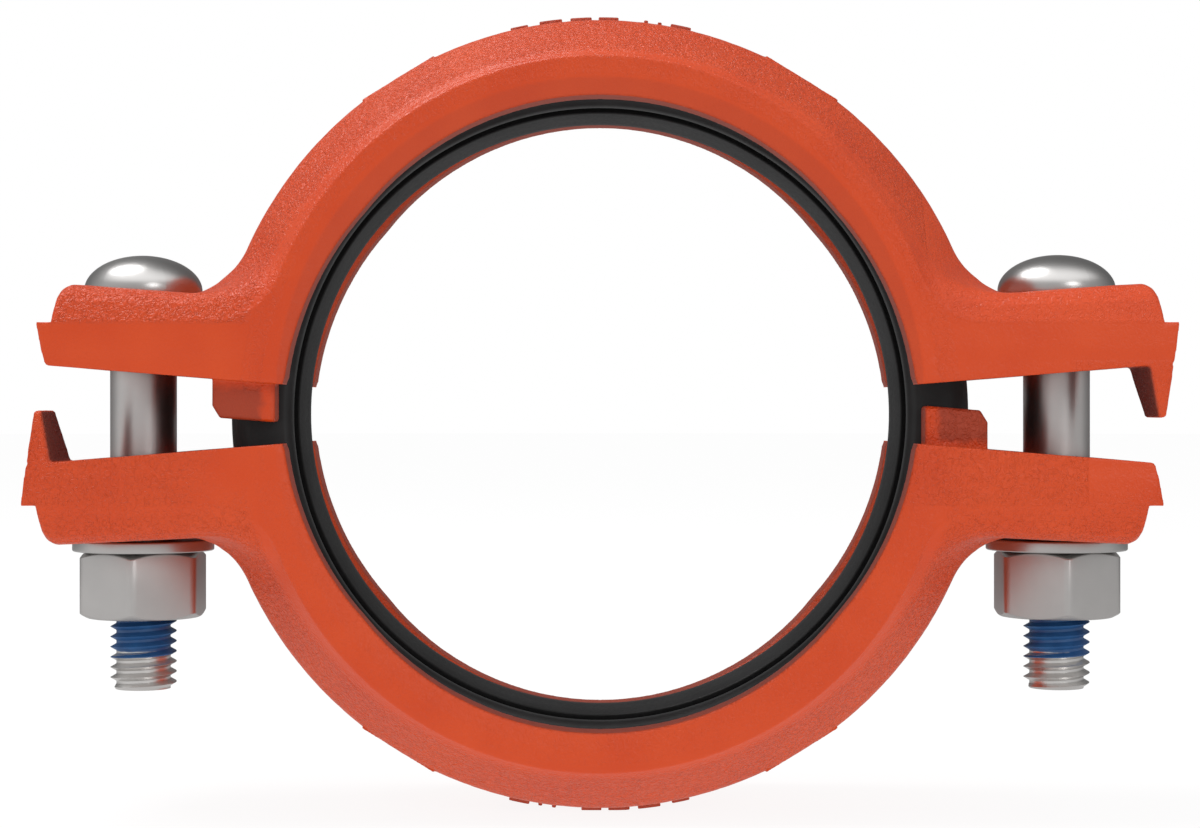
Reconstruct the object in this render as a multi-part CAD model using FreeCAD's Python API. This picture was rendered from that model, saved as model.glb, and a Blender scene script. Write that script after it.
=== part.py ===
import FreeCAD, Part
import math
import os

from FreeCAD import Vector

# Rigid grooved pipe coupling for 4 inch pipe, in the open state in which it is delivered.
# Millimetres and degrees. The origin is the centre of the pipe, halfway between the two housings.
# X runs to the right across the bolt pads, Y runs along the pipe, Z points up through the upper housing.

# The pipe that it joins
pipe_diameter = 114.3
pipe_groove_depth = 2.1

# Gasket, a ring of C section whose two lips face each other
lip_clearance = 0.3
gasket_height = 11.75
gasket_width = 32.4
gasket_back_width = 23.0
gasket_shoulder = 3.6
gasket_edge = 0.5
lip_land_width = 6.5
lip_mouth_width = 8.4
lip_mouth_rise = 1.05
lip_thickness = 1.9
gasket_side_wall = 4.0
gasket_back_wall = 3.2
cavity_corner = 2.0
lip_lean = 0.5

# Housing ring: keys that bite into the pipe groove, and the pocket that holds the gasket
housing_width = 53.6
pocket_clearance = 0.3
pocket_side_clearance = 0.7
pocket_taper = 3.0
key_land_width = 4.4
key_flank_height = 3.2
key_seat_clearance = 0.1
key_seat_rise = 3.25
key_entry_clearance = 1.05
key_entry_drop = 1.5
key_bevel = 0.9

# Outside of the ring: a crest, a sloping flank on each side and a narrow flat front
crest_wall = 4.55
crest_rise = 1.4
crest_width = 25.0
crest_edge = 6.0
flank_height = 10.05
shoulder_rise = 2.6
front_flat = 3.4
ridge_rise = 2.4

# Flat witness pads across the crest
witness_angle = 31.6
witness_length = 15.6
witness_drop = 0.25

# Bolt pads
split_gap = 10.8
pad_tilt = 4.6
pad_height = 23.6
pad_slope = 2.8
pad_rim = 4.2
rim_steps = 3
side_draft = 17.0
parting_height = 16.7
parting_corner = 0.4
pad_fillet = 13.5
washer_room = 1.95
plain_end_length = 11.9
hook_end_length = 14.7
flange_step = 2.5
end_draft = 9.5
end_corner = 2.2
plain_flange_draft = 10.5
hook_flange_draft = 6.5
flange_edge = 1.0

# Hook on the front of one end of each housing, over the plain end of the other
hook_reach = 9.9
hook_thickness = 1.4
hook_root_thickness = 4.6
hook_taper = 7.8
hook_root = 1.0
hook_depth = 17.0
hook_tip_depth = 11.6
hook_front_draft = 5.0
hook_edge = 0.7

# Tongues beside the gasket, and the recesses of the other housing that take them
tongue_length = 7.1
tongue_width = 11.7
tongue_thickness = 6.2
tongue_setback = 3.6
tongue_offset = 1.4
tongue_chamfer_width = 1.4
tongue_chamfer_height = 2.3
tongue_edge = 0.8
recess_clearance = 0.3
recess_depth = 7.2

# Track bolts, half inch, with an oval neck under a round head
bolt_diameter = 12.7
bolt_length = 76.2
bolt_end_chamfer = 1.1
head_diameter = 21.9
head_height = 6.5
head_rim = 0.3
head_shoulder = 4.2
neck_length = 17.4
neck_width = 13.4
neck_height = 7.0
neck_clearance = 0.4

# Nuts and washers
nut_width = 22.225
nut_height = 12.8
nut_chamfer_angle = 30.0
nut_crown = 0.4
nut_bore_clearance = 0.05
washer_diameter = 27.0
washer_hole_clearance = 0.4
washer_thickness = 2.15
washer_edge = 0.25
stack_gap = 0.02

# Radii and places that follow from the sizes above
lip_radius = pipe_diameter / 2 + lip_clearance
gasket_radius = lip_radius + gasket_height
pocket_radius = gasket_radius + pocket_clearance
pocket_width = gasket_width + 2 * pocket_side_clearance
key_seat_radius = pipe_diameter / 2 - pipe_groove_depth + key_seat_clearance
key_entry_radius = pipe_diameter / 2 + key_entry_clearance
crest_radius = pocket_radius + crest_wall - crest_rise
shoulder_radius = crest_radius - flank_height
ridge_radius = shoulder_radius - front_flat
bolt_x = crest_radius + washer_room + washer_diameter / 2
front_y = -housing_width / 2
tongue_root_x = key_entry_radius + tongue_offset
draft_start = parting_height - 2 * parting_corner
far = 200.0

# The two ends of a housing: the side it is on, how far it reaches past the bolt, and its flange's draft
PLAIN = (-1, plain_end_length, plain_flange_draft)
HOOK = (1, hook_end_length, hook_flange_draft)


def slope(angle):
    return math.tan(math.radians(angle))


def point(x, y, z):
    return Vector(x, y, z)


def polygon(points):
    return Part.makePolygon(points + [points[0]])


def prism(points, direction):
    return Part.Face(polygon(points)).extrude(direction)


def mating_height(x):
    """Height of the tilted mating face at a distance x from the middle."""
    return split_gap / 2 + (abs(x) - key_entry_radius) * slope(pad_tilt)


def pad_top(x):
    """Height of the pad's top, which rises a little towards the end of the pad."""
    return pad_height + (abs(x) - bolt_x) * slope(pad_slope)


def flange_x(end, z):
    """Distance of the flange's end face from the middle at height z, below the parting line."""
    return bolt_x + end[1] + flange_step - (parting_height - z) * slope(end[2])


def pad_corner(end, height_at_bolt, tilt):
    """Distance and height of the corner where a pad's sloping top would meet its drafted end."""
    lean = slope(end_draft)
    rise = slope(tilt)
    reach = (end[1] - (height_at_bolt - draft_start) * lean) / (1 + rise * lean)
    return bolt_x + reach, height_at_bolt + reach * rise


def rim_x(end):
    """Distance from the middle at which the pad's flat top meets its rounded end."""
    turn = math.radians(90 - end_draft + pad_slope)
    return pad_corner(end, pad_height, pad_slope)[0] - end_corner * math.tan(turn / 2)


def seat_height(end):
    """Height at which a head or a washer comes to lie on the pad, by its rounded end at the latest."""
    end_rise = end_corner * (1 - math.cos(math.radians(pad_slope)))
    return pad_top(min(rim_x(end), bolt_x + washer_diameter / 2)) + end_rise


# Housing outline


def touch_point(corner, towards, length):
    step = towards.sub(corner)
    return corner.add(step.multiply(length / step.Length))


def corner_edges(before, corner, after, radius):
    """A straight run up to a rounded corner, and the corner's arc."""
    incoming = before.sub(corner)
    outgoing = after.sub(corner)
    half = incoming.getAngle(outgoing) / 2
    start = touch_point(corner, before, radius / math.tan(half))
    finish = touch_point(corner, after, radius / math.tan(half))
    bisector = incoming.normalize().add(outgoing.normalize()).normalize()
    middle = corner.add(bisector.multiply(radius / math.sin(half) - radius))
    return [Part.makeLine(before, start), Part.Arc(start, middle, finish).toShape()], finish


def fillet_to_ring(y, side, height_at_bolt, tilt, ring_radius, ring_rise):
    """Touch points and middle of the hollow fillet between a pad's top and the ring."""
    along = Vector(side * math.cos(math.radians(tilt)), 0, math.sin(math.radians(tilt)))
    normal = Vector(-side * math.sin(math.radians(tilt)), 0, math.cos(math.radians(tilt)))
    ring_centre = point(0, y, ring_rise)
    base = point(side * bolt_x, y, height_at_bolt).add(Vector(normal).multiply(pad_fillet))
    offset = base.sub(ring_centre)
    b = offset.dot(along)
    c = offset.dot(offset) - (ring_radius + pad_fillet) ** 2
    centre = base.add(Vector(along).multiply(-b + math.sqrt(b * b - c)))
    on_pad = centre.sub(Vector(normal).multiply(pad_fillet))
    inward = ring_centre.sub(centre).normalize()
    on_ring = centre.add(Vector(inward).multiply(pad_fillet))
    middle = centre.add(inward.sub(normal).normalize().multiply(pad_fillet))
    return on_pad, middle, on_ring


def half_outline(y, end, height_at_bolt, tilt, corner_radius, ring_radius, ring_rise):
    """One side of a housing's outline, from the mating face up to the ring."""
    side = end[0]
    foot = point(side * (bolt_x + end[1]), y, mating_height(bolt_x + end[1]))
    parting = point(side * (bolt_x + end[1]), y, draft_start)
    corner_x, corner_z = pad_corner(end, height_at_bolt, tilt)
    corner = point(side * corner_x, y, corner_z)
    on_pad, middle, on_ring = fillet_to_ring(y, side, height_at_bolt, tilt, ring_radius, ring_rise)
    edges = [Part.makeLine(foot, parting)]
    rounded, finish = corner_edges(parting, corner, on_pad, corner_radius)
    edges += rounded
    edges.append(Part.makeLine(finish, on_pad))
    edges.append(Part.Arc(on_pad, middle, on_ring).toShape())
    return edges, foot, on_ring


def housing_outline(y, height_at_bolt, tilt, corner_radius, ring_radius, ring_rise):
    """Closed outline of a housing, without its bore, at one place along the pipe."""
    shared = (height_at_bolt, tilt, corner_radius, ring_radius, ring_rise)
    left, left_foot, left_ring = half_outline(y, PLAIN, *shared)
    right, right_foot, right_ring = half_outline(y, HOOK, *shared)
    apex = point(0, y, ring_rise + ring_radius)
    inner_x = key_seat_radius - flank_height
    inner_z = mating_height(inner_x)
    ring = [Part.Arc(left_ring, apex, right_ring).toShape()]
    base = [
        Part.makeLine(right_foot, point(inner_x, y, inner_z)),
        Part.makeLine(point(inner_x, y, inner_z), point(-inner_x, y, inner_z)),
        Part.makeLine(point(-inner_x, y, inner_z), left_foot),
    ]
    return Part.Wire(left + ring + right[::-1] + base)


def between(y, front, crest):
    """Value at y on the straight flank that runs from the front to the edge of the crest."""
    share = (abs(y) - crest_width / 2) / (housing_width / 2 - crest_width / 2)
    return crest + (front - crest) * max(share, 0)


def pad_stations():
    """Places along the pipe, each with the pad's height there: a drafted side and a rounded rim."""
    rim_z = pad_height - pad_rim * (1 - math.sin(math.radians(side_draft)))
    rim_y = housing_width / 2 - (rim_z - parting_height) * slope(side_draft)
    flat_y = rim_y - pad_rim * math.cos(math.radians(side_draft))
    stations = [(housing_width / 2, parting_height)]
    for step in range(rim_steps + 1):
        turn = math.radians(side_draft + (90 - side_draft) * step / rim_steps)
        y = flat_y + pad_rim * math.cos(turn)
        stations.append((y, pad_height - pad_rim * (1 - math.sin(turn))))
    stations.append((crest_width / 2, pad_height))
    return stations


def outline_at(y, height):
    share = (height - parting_height) / (pad_height - parting_height)
    ring = between(y, shoulder_radius, crest_radius)
    rise = between(y, shoulder_rise, crest_rise)
    corner = max(end_corner * share, parting_corner)
    return housing_outline(y, height, pad_slope * share, corner, ring, rise)


def housing_blank():
    front = [(-y, height) for y, height in pad_stations()]
    stations = front + [(-y, height) for y, height in front[::-1]]
    blank = Part.makeLoft([outline_at(y, height) for y, height in stations], True, True)
    crest_edges = [edge for edge in blank.Edges if is_crest_edge(edge)]
    return blank.makeFillet(crest_edge, crest_edges)


def is_crest_edge(edge):
    """The two long arcs where the flanks meet the crest, with the hollow fillets beside them."""
    middle = edge.valueAt((edge.FirstParameter + edge.LastParameter) / 2)
    across = edge.BoundBox.YLength < 1e-6
    return across and abs(abs(middle.y) - crest_width / 2) < 1e-6 and middle.z > parting_height


# Housing details


def ring_cylinder(radius, rise, width):
    return Part.makeCylinder(radius, width, point(0, -width / 2, rise), Vector(0, 1, 0))


def key_bore():
    """Two overlapping bores: the seat in the pipe groove, and the way in past the pipe's end."""
    seat = ring_cylinder(key_seat_radius, key_seat_rise, far)
    entry = ring_cylinder(key_entry_radius, -key_entry_drop, far)
    return seat.fuse(entry)


def gasket_pocket():
    """Round pocket between the two keys, with sloping key flanks at its mouth."""
    half = pocket_width / 2
    mouth = housing_width / 2 - key_bevel - key_land_width
    tip = key_entry_radius - key_entry_drop
    root = key_entry_radius + key_flank_height
    back = pocket_width / 2 - pocket_taper
    near = [
        point(0, -mouth, 0),
        point(tip, -mouth, 0),
        point(root, -half, 0),
        point(pocket_radius - pocket_taper, -half, 0),
        point(pocket_radius, -back, 0),
    ]
    rear = [point(p.x, -p.y, 0) for p in near[::-1]]
    section = Part.Face(polygon(near + rear))
    return section.revolve(point(0, 0, 0), Vector(0, 1, 0), 360)


def key_bevels():
    """Shallow cones that lean both faces of the ring in towards the keys."""
    depth = key_bevel * ridge_radius / (ridge_radius - key_seat_radius)
    cone = Part.makeCone(ridge_radius, 0, depth, point(0, front_y, ridge_rise), Vector(0, 1, 0))
    return cone.fuse(cone.mirror(point(0, 0, 0), Vector(0, 1, 0)))


def flange(end):
    """Thick flange along the parting line, which steps out past the pad's end."""
    side = end[0]
    reach = flange_x(end, parting_height)
    foot = flange_x(end, mating_height(reach))
    inner = bolt_x
    points = [
        point(side * inner, front_y, mating_height(inner)),
        point(side * foot, front_y, mating_height(foot)),
        point(side * reach, front_y, parting_height),
        point(side * inner, front_y, parting_height),
    ]
    body = prism(points, Vector(0, housing_width, 0))
    foot_edges = [e for e in body.Edges if is_foot_edge(e, side * foot)]
    return body.makeFillet(flange_edge, foot_edges)


def is_foot_edge(edge, x):
    box = edge.BoundBox
    return box.YLength > housing_width / 2 and abs(box.Center.x - x) < 1e-3 and box.ZLength < 1e-3


def hook():
    """Hook below the front corner of the pad: its back slopes away from the tip."""
    base_z = mating_height(bolt_x) + hook_root
    tip_z = mating_height(flange_x(HOOK, parting_height)) - hook_reach
    draft = (base_z - tip_z) * slope(hook_front_draft)
    outer_base = flange_x(HOOK, base_z)
    outer_tip = outer_base - (base_z - tip_z) * slope(hook_taper)
    inner_base = outer_base - hook_root_thickness
    inner_tip = outer_tip - hook_thickness
    base = polygon([
        point(inner_base, front_y, base_z),
        point(outer_base, front_y, base_z),
        point(outer_base, front_y + hook_depth, base_z),
        point(inner_base, front_y + hook_depth, base_z),
    ])
    tip = polygon([
        point(inner_tip, front_y + draft, tip_z),
        point(outer_tip, front_y + draft, tip_z),
        point(outer_tip, front_y + hook_tip_depth, tip_z),
        point(inner_tip, front_y + hook_tip_depth, tip_z),
    ])
    body = Part.makeLoft([base, tip], True, True)
    loose = [e for e in body.Edges if e.BoundBox.ZMin < base_z - 1e-3]
    return body.makeFillet(hook_edge, loose)


def tongue_outline(grow, top, bottom):
    """Outline of a tongue or of its recess: its end follows the mating face, one corner is cut off."""
    inner = tongue_root_x - grow
    outer = tongue_root_x + tongue_width + grow
    corner = outer - tongue_chamfer_width
    corner_z = bottom + (corner - inner) * slope(pad_tilt)
    return [
        (inner, top),
        (inner, bottom),
        (corner, corner_z),
        (outer, corner_z + tongue_chamfer_height),
        (outer, top),
    ]


def tongues():
    """Tongues on the plain end, one in front of the gasket and one behind it."""
    top = mating_height(bolt_x)
    bottom = mating_height(tongue_root_x) - tongue_length
    front = front_y + tongue_setback
    points = [point(-x, front, z) for x, z in tongue_outline(0, top, bottom)]
    leg = prism(points, Vector(0, tongue_thickness, 0))
    rounded = [e for e in leg.Edges if e.BoundBox.ZMin < top - tongue_edge]
    leg = leg.makeFillet(tongue_edge, rounded)
    return leg.fuse(leg.mirror(point(0, 0, 0), Vector(0, 1, 0)))


def recesses():
    """Recesses of the hook end that take the other housing's tongues."""
    bottom = mating_height(tongue_root_x) - tongue_length
    top = mating_height(tongue_root_x) + recess_depth
    front = front_y + tongue_setback - recess_clearance
    outline = tongue_outline(recess_clearance, -bottom, -top)
    points = [point(x, front, -z) for x, z in outline]
    hollow = prism(points, Vector(0, tongue_thickness + 2 * recess_clearance, 0))
    return hollow.fuse(hollow.mirror(point(0, 0, 0), Vector(0, 1, 0)))


def oval(length, width, x, z, height):
    """Upright oval post, its long side along the pipe."""
    radius = width / 2
    straight = length / 2 - radius
    edges = [
        Part.makeLine(point(x + radius, -straight, z), point(x + radius, straight, z)),
        Part.Arc(
            point(x + radius, straight, z), point(x, length / 2, z), point(x - radius, straight, z)
        ).toShape(),
        Part.makeLine(point(x - radius, straight, z), point(x - radius, -straight, z)),
        Part.Arc(
            point(x - radius, -straight, z), point(x, -length / 2, z), point(x + radius, -straight, z)
        ).toShape(),
    ]
    return Part.Face(Part.Wire(edges)).extrude(Vector(0, 0, height))


def bolt_holes():
    length = neck_length + 2 * neck_clearance
    width = neck_width + 2 * neck_clearance
    holes = [oval(length, width, side * bolt_x, 0, far) for side in (-1, 1)]
    return holes[0].fuse(holes[1])


def witness_blocks(low, high):
    """Blocks across the crest, one on each side of the top, between two distances from its centre."""
    half = witness_length / 2
    blocks = []
    for side in (-1, 1):
        points = [
            point(-half, -crest_width / 2, crest_rise + low),
            point(half, -crest_width / 2, crest_rise + low),
            point(half, -crest_width / 2, crest_rise + high),
            point(-half, -crest_width / 2, crest_rise + high),
        ]
        block = prism(points, Vector(0, crest_width, 0))
        block.rotate(point(0, 0, crest_rise), Vector(0, 1, 0), side * witness_angle)
        blocks.append(block)
    return blocks


def housing():
    body = housing_blank().cut([key_bore(), gasket_pocket(), key_bevels()])
    witness_top = crest_radius - witness_drop
    witness_pads = witness_blocks(crest_radius - crest_wall / 2, witness_top)
    body = body.fuse([flange(PLAIN), flange(HOOK), hook(), tongues()] + witness_pads)
    body = body.cut([recesses(), bolt_holes()] + witness_blocks(witness_top, crest_radius + crest_wall))
    return body.removeSplitter()


# Gasket


def gasket():
    """C section: a back, two side walls and two lips that face each other over a hollow."""
    half = gasket_width / 2
    land = half - lip_land_width
    mouth = lip_mouth_width / 2
    tip = lip_radius + lip_mouth_rise
    wall = half - gasket_side_wall
    near = [
        point(tip, -mouth, 0),
        point(lip_radius, -land, 0),
        point(lip_radius, -half + gasket_edge, 0),
        point(lip_radius + gasket_edge, -half, 0),
        point(gasket_radius - gasket_shoulder, -half, 0),
        point(gasket_radius, -gasket_back_width / 2, 0),
    ]
    rear = [point(p.x, -p.y, 0) for p in near[::-1]]
    roof = gasket_radius - gasket_back_wall
    floor = tip + lip_thickness
    hollow = [
        point(floor - lip_lean, mouth, 0),
        point(floor, wall, 0),
        point(roof - cavity_corner, wall, 0),
        point(roof, wall - cavity_corner, 0),
        point(roof, -wall + cavity_corner, 0),
        point(roof - cavity_corner, -wall, 0),
        point(floor, -wall, 0),
        point(floor - lip_lean, -mouth, 0),
    ]
    section = Part.Face(polygon(near + rear + hollow))
    return section.revolve(point(0, 0, 0), Vector(0, 1, 0), 360)


# Fasteners


def revolved(profile, x):
    """Solid of revolution about an upright axis through x, from points of radius and height."""
    section = Part.Face(polygon([point(x + r, 0, z) for r, z in profile]))
    return section.revolve(point(x, 0, 0), Vector(0, 0, 1), 360)


def bolt(end):
    """Track bolt: a round head, an oval neck that stops it turning, and a shank."""
    x = end[0] * bolt_x
    seat = seat_height(end)
    neck = oval(neck_length, neck_width, x, seat - neck_height, neck_height + head_rim / 2)
    return turned_bolt(x, seat).fuse(neck)


def turned_bolt(x, seat):
    """Shank with a chamfered end under a domed head: a flat crown that turns down in a tight shoulder."""
    foot = seat - bolt_length
    shank = bolt_diameter / 2
    head = head_diameter / 2
    rim = seat + head_rim
    apex = point(x, 0, seat + head_height)
    dome_height = head_height - head_rim
    shoulder_x = head - head_shoulder
    crown = (shoulder_x ** 2 + dome_height ** 2 - head_shoulder ** 2) / 2 / (dome_height - head_shoulder)
    crown_z = apex.z - crown
    turn = math.atan2(shoulder_x, rim - crown_z)
    meet = point(x + crown * math.sin(turn), 0, crown_z + crown * math.cos(turn))
    on_crown = point(x + crown * math.sin(turn / 2), 0, crown_z + crown * math.cos(turn / 2))
    bend = math.radians(90) / 2 + turn / 2
    on_shoulder = point(
        x + shoulder_x + head_shoulder * math.sin(bend), 0, rim + head_shoulder * math.cos(bend)
    )
    corners = [
        apex,
        point(x, 0, foot),
        point(x + shank - bolt_end_chamfer, 0, foot),
        point(x + shank, 0, foot + bolt_end_chamfer),
        point(x + shank, 0, seat),
        point(x + head - head_rim, 0, seat),
        point(x + head, 0, rim),
    ]
    sides = [Part.makeLine(start, finish) for start, finish in zip(corners, corners[1:])]
    sides.append(Part.Arc(corners[-1], on_shoulder, meet).toShape())
    sides.append(Part.Arc(meet, on_crown, apex).toShape())
    section = Part.Face(Part.Wire(sides))
    return section.revolve(point(x, 0, 0), Vector(0, 0, 1), 360)


def washer(side, seat):
    """Flat washer against the underside of the lower pad."""
    top = -seat - stack_gap
    bottom = top - washer_thickness
    inner = bolt_diameter / 2 + washer_hole_clearance
    outer = washer_diameter / 2
    return revolved([
        (inner, top),
        (outer - washer_edge, top),
        (outer, top - washer_edge),
        (outer, bottom + washer_edge),
        (outer - washer_edge, bottom),
        (inner, bottom),
    ], side * bolt_x)


def nut(side, seat):
    """Heavy hexagon nut with both faces chamfered, one corner towards the front."""
    x = side * bolt_x
    top = -seat - 2 * stack_gap - washer_thickness
    bottom = top - nut_height
    corner = nut_width / 2 / math.cos(math.radians(30))
    turns = [math.radians(30 + 60 * k) for k in range(6)]
    outline = [point(x + corner * math.cos(t), corner * math.sin(t), bottom) for t in turns]
    body = prism(outline, Vector(0, 0, nut_height))
    flat = nut_width / 2
    drop = (corner - flat + nut_crown) * slope(nut_chamfer_angle)
    body = body.common(revolved([
        (0, bottom),
        (flat - nut_crown, bottom),
        (corner, bottom + drop),
        (corner, top - drop),
        (flat - nut_crown, top),
        (0, top),
    ], x))
    bore = bolt_diameter / 2 + nut_bore_clearance
    return body.cut(Part.makeCylinder(bore, far, point(x, 0, -far), Vector(0, 0, 1)))


# The second housing is the same casting, turned half a turn about the pipe


def turned(shape):
    copy = shape.copy()
    copy.rotate(point(0, 0, 0), Vector(0, 1, 0), 180)
    return copy


casting = housing()
solids = {
    "upper_housing": casting,
    "lower_housing": turned(casting),
    "gasket": gasket(),
    "left_bolt": bolt(PLAIN),
    "right_bolt": bolt(HOOK),
    "left_washer": washer(-1, seat_height(HOOK)),
    "right_washer": washer(1, seat_height(PLAIN)),
    "left_nut": nut(-1, seat_height(HOOK)),
    "right_nut": nut(1, seat_height(PLAIN)),
}
os.makedirs("parts", exist_ok=True)
for name, solid in solids.items():
    solid.exportStep("parts/" + name + ".step")
    print(name, len(solid.Solids), "solid,", round(solid.Volume), "cubic mm")
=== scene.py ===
import math

import bmesh
import bpy
from mathutils import Matrix, Vector, noise


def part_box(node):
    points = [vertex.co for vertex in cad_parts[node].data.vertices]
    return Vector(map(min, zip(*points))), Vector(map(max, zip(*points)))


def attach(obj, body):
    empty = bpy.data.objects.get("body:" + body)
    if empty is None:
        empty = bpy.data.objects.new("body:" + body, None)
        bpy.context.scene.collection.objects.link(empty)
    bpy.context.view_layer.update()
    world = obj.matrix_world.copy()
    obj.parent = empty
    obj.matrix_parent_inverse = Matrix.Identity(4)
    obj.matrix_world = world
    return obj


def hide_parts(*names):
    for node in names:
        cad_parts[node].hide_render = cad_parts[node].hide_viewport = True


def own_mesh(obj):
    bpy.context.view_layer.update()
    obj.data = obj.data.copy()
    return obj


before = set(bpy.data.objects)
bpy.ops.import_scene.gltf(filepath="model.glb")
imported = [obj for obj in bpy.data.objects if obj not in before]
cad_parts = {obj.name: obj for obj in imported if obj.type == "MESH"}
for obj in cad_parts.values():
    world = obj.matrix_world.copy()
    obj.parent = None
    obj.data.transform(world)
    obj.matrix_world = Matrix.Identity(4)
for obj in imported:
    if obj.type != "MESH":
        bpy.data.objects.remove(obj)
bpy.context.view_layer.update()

# Rigid grooved pipe coupling for 4 inch pipe, in the open state in which it is delivered.
# Metres. X runs across the bolt pads, Y along the pipe, Z up through the upper housing.

mm = 0.001


# Housings: two halves of one ductile iron casting, poured in a sand mould, so their outer faces
# have the mould's pebbled skin and their joint faces are smoother. They are dipped in orange
# enamel, which rounds the edges a little. The lower half is the upper one, half a turn round.

casting_share = 0.315
bolt_x = 88.1 * mm
parting_line = 16.7 * mm
flank_start = 65.6 * mm
flank_end = 67.2 * mm
key_reach = 62.3 * mm
key_inner_face = 17.3 * mm
pocket_radius = 69.7 * mm
pocket_half_width = 17.1 * mm
pad_root = 66 * mm
pad_root_fade = 6 * mm
pad_joint = 9.8 * mm
pad_joint_fade = 2 * mm
key_joint = 5.8 * mm
key_joint_fade = 0.8 * mm
hook_top = 9.6 * mm
hook_inner_start = 85 * mm
hook_end_start = 90 * mm
hook_foot_start = 98 * mm
hook_foot_low = 7 * mm
hook_foot_high = 11.5 * mm
tongue_inner = 59 * mm
tongue_outer = 72.6 * mm
tongue_top = 5 * mm
enamel_depth = 0.24 * mm

smooth_skin = 0.16
upper_skin_fade = 0.4 * mm
lower_skin_fade = 9.0 * mm
right_skin = 0.35
lower_pad_skin = 0.8
upper_hook_skin = 0.3
lower_hook_skin = 0.9
lower_key_skin = 0.2
right_start = 60 * mm
lower_pad_middle = -8 * mm
lower_pad_start = 60 * mm
lower_pad_fade = 9 * mm
lower_pad_end = 88.8 * mm
hook_skin_height = 9.5 * mm
hook_skin_start = 86 * mm
face_skin_low = 4 * mm
face_skin_start = 62 * mm
lower_key_level = -12 * mm
lower_key_reach = 64 * mm

wave_length = 6.5 * mm
wave_depth = 0.05
ripple_length = 2.6 * mm
ripple_depth = 0.012
skin_ripple_depth = 0.038
knob_length = 1.5 * mm
knob_depth = 0.035

# Painted shade darkens and dulls the enamel: on the bevel round the bore, far more on the upper half,
# in the bore, on the hooks' inner faces and on the tongues.
upper_bevel_shade = 0.16
lower_bevel_shade = 0.03
bevel_start = 0.1
bevel_width = 0.1
bore_shade = 0.62
bore_start = 0.74
bore_width = 0.18
hook_start = 0.2
hook_width = 0.6
tongue_shade = 0.55
hook_end_facing = 0.5
level_start = 0.3
level_width = 0.7

pad_top = 19 * mm
pad_inner = 70 * mm
pad_outer = 104 * mm
seat_radius = 10.9 * mm
seat_level = 22.95 * mm
pad_top_fade = 4 * mm
pad_inner_fade = 5 * mm
pad_dip = 0.15
ring_dip = 0.45
ring_dip_start = 95 * mm
ring_dip_width = 18 * mm


def shader(material, kind, **inputs):
    """A node of one kind, with its settings and the values of its named sockets."""
    node = material.node_tree.nodes.new(kind)
    for name, value in inputs.items():
        if hasattr(node, name):
            setattr(node, name, value)
        else:
            node.inputs[name.replace("_", " ")].default_value = value
    return node


def join(material, *pairs):
    """Links outputs to inputs, given in turn."""
    for output, target in zip(pairs[::2], pairs[1::2]):
        material.node_tree.links.new(output, target)


def finish_material(name):
    """A new material, and its one Principled shader."""
    material = bpy.data.materials.new(name)
    material.use_nodes = True
    return material, material.node_tree.nodes["Principled BSDF"]


def fine_grain():
    """Shared grain: a mask of small soft specks, and broad clouds, over the surface."""
    group = bpy.data.node_groups.new("fine_grain", "ShaderNodeTree")
    sockets = group.interface
    sockets.new_socket("Vector", in_out="INPUT", socket_type="NodeSocketVector")
    for name in ("Grain Scale", "Cloud Scale"):
        sockets.new_socket(name, in_out="INPUT", socket_type="NodeSocketFloat")
    for name in ("Grain", "Clouds"):
        sockets.new_socket(name, in_out="OUTPUT", socket_type="NodeSocketFloat")
    enter = group.nodes.new("NodeGroupInput")
    leave = group.nodes.new("NodeGroupOutput")
    for scale, output, detail in (("Grain Scale", "Grain", 3), ("Cloud Scale", "Clouds", 2)):
        texture = group.nodes.new("ShaderNodeTexNoise")
        texture.inputs["Detail"].default_value = detail
        texture.inputs["Roughness"].default_value = 0.6
        group.links.new(enter.outputs["Vector"], texture.inputs["Vector"])
        group.links.new(enter.outputs[scale], texture.inputs["Scale"])
        group.links.new(texture.outputs["Fac"], leave.inputs[output])
    return group


grain = fine_grain()


def grain_node(material, place, grain_scale, cloud_scale):
    node = material.node_tree.nodes.new("ShaderNodeGroup")
    node.node_tree = grain
    node.inputs["Grain Scale"].default_value = grain_scale
    node.inputs["Cloud Scale"].default_value = cloud_scale
    join(material, place, node.inputs["Vector"])
    return node


def map_range(material, value, low, high, to_low, to_high):
    node = shader(
        material, "ShaderNodeMapRange", From_Min=low, From_Max=high, To_Min=to_low, To_Max=to_high
    )
    join(material, value, node.inputs["Value"])
    return node.outputs["Result"]


def calc(material, operation, first, second):
    """One sum of two values, each of which is an output or a number."""
    node = material.node_tree.nodes.new("ShaderNodeMath")
    node.operation = operation
    for socket, value in zip(node.inputs, (first, second)):
        if isinstance(value, (int, float)):
            socket.default_value = value
        else:
            join(material, value, socket)
    return node.outputs["Value"]


def blend_colours(material, amount, first, second):
    """Mixes two colours, each of which is an output or a plain colour."""
    node = material.node_tree.nodes.new("ShaderNodeMix")
    node.data_type = "RGBA"
    join(material, amount, node.inputs["Factor"])
    for name, value in (("A", first), ("B", second)):
        socket = [s for s in node.inputs if s.name == name and s.type == "RGBA"][0]
        if isinstance(value, tuple):
            socket.default_value = value
        else:
            join(material, value, socket)
    return [s for s in node.outputs if s.type == "RGBA"][0]


def bump(material, height, distance):
    node = shader(material, "ShaderNodeBump", Distance=distance, Strength=1.0)
    join(material, height, node.inputs["Height"])
    return node.outputs["Normal"]


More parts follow.
